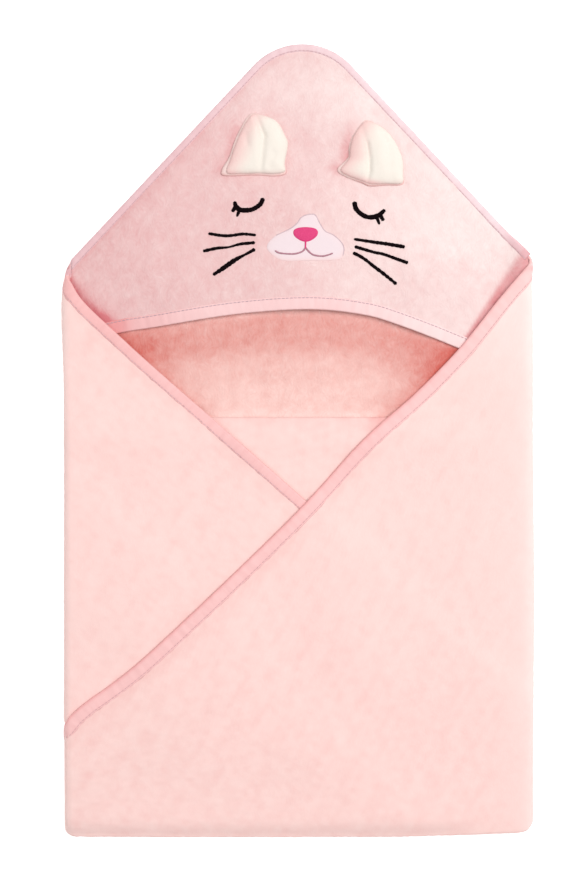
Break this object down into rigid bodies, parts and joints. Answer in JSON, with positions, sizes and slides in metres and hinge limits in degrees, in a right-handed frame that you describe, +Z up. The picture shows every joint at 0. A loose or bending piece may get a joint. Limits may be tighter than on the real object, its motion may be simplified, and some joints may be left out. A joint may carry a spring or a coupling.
{
  "type": "hooded baby towel",
  "caption": "Square plush baby towel with a hood over one corner, folded flat like an envelope; the hood has soft animal ears and an embroidered sleeping face.",
  "frame": {"origin": "centre of the bounding box at the underside, on the surface that the folded towel lies on", "axes": "+Y towards the hood's corner, +Z up through the layers, +X to the towel's right as seen from above with the hood's corner away from the viewer"},
  "size_m": [0.3726, 0.6256, 0.0158],
  "materials": {
    "pink_plush": "short-pile plush, matt",
    "smooth_pink_side": "smoother reverse of the plush, matt",
    "inner_plush": "fuzzy pile, matt",
    "hood_plush": "fuzzy pile, matt",
    "ivory_plush": "long soft pile, matt",
    "binding_tape": "folded bias tape with a row of stitches",
    "corner_tape": "folded bias tape with a row of stitches",
    "pale_applique": "flat applique with a stitched edge",
    "nose_thread": "satin stitch, low sheen",
    "black_thread": "satin stitch, low sheen",
    "mauve_thread": "stitched line"
  },
  "bodies": {
    "root": {"back_panel": "pink_plush", "bottom_fold": "pink_plush", "left_flap": "pink_plush", "left_flap_under_layer": "pink_plush", "left_flap_bottom_fold": "pink_plush", "left_fold": "pink_plush", "left_fold_inner": "pink_plush", "right_fold": "pink_plush", "right_fold_inner": "pink_plush", "turned_under_tip": "inner_plush", "bottom_flap": "smooth_pink_side", "crease_fold": "smooth_pink_side", "hood_panel": "hood_plush", "hood_edge_binding": "binding_tape", "left_flap_binding": "binding_tape", "corner_binding": "corner_tape", "muzzle_patch": "pale_applique", "nose_patch": "nose_thread", "mouth_stitch": "mauve_thread", "nose_to_mouth_stitch": "mauve_thread", "eye_left_stitch": "black_thread", "eye_right_stitch": "black_thread", "lash_left_outer": "black_thread", "lash_left_inner": "black_thread", "lash_right_inner": "black_thread", "lash_right_outer": "black_thread", "whisker_left_upper": "black_thread", "whisker_left_middle": "black_thread", "whisker_left_lower": "black_thread", "whisker_right_upper": "black_thread", "whisker_right_middle": "black_thread", "whisker_right_lower": "black_thread"},
    "right_flap": {"right_flap": "pink_plush", "right_flap_binding": "binding_tape", "right_flap_under_layer": "pink_plush", "right_flap_bottom_fold": "pink_plush", "right_flap_tuck": "pink_plush"},
    "ear_left": {"ear_left_back": "hood_plush", "ear_left_front": "ivory_plush"},
    "ear_right": {"ear_right_back": "hood_plush", "ear_right_front": "ivory_plush"}
  },
  "joints": [
    {"name": "right_flap_fold", "type": "hinge", "parent": "root", "child": "right_flap", "pos_m": [0.1784, 0, 0.0079], "axis": [0, 1, 0], "range_deg": [0, 179]},
    {"name": "ear_left_seam", "type": "hinge", "parent": "root", "child": "ear_left", "pos_m": [-0.034, 0.208, 0.00635], "axis": [0.9994, -0.0349, 0], "range_deg": [0, 105]},
    {"name": "ear_right_seam", "type": "hinge", "parent": "root", "child": "ear_right", "pos_m": [0.06, 0.203, 0.00649], "axis": [0.9925, -0.1219, 0], "range_deg": [0, 105]}
  ]
}
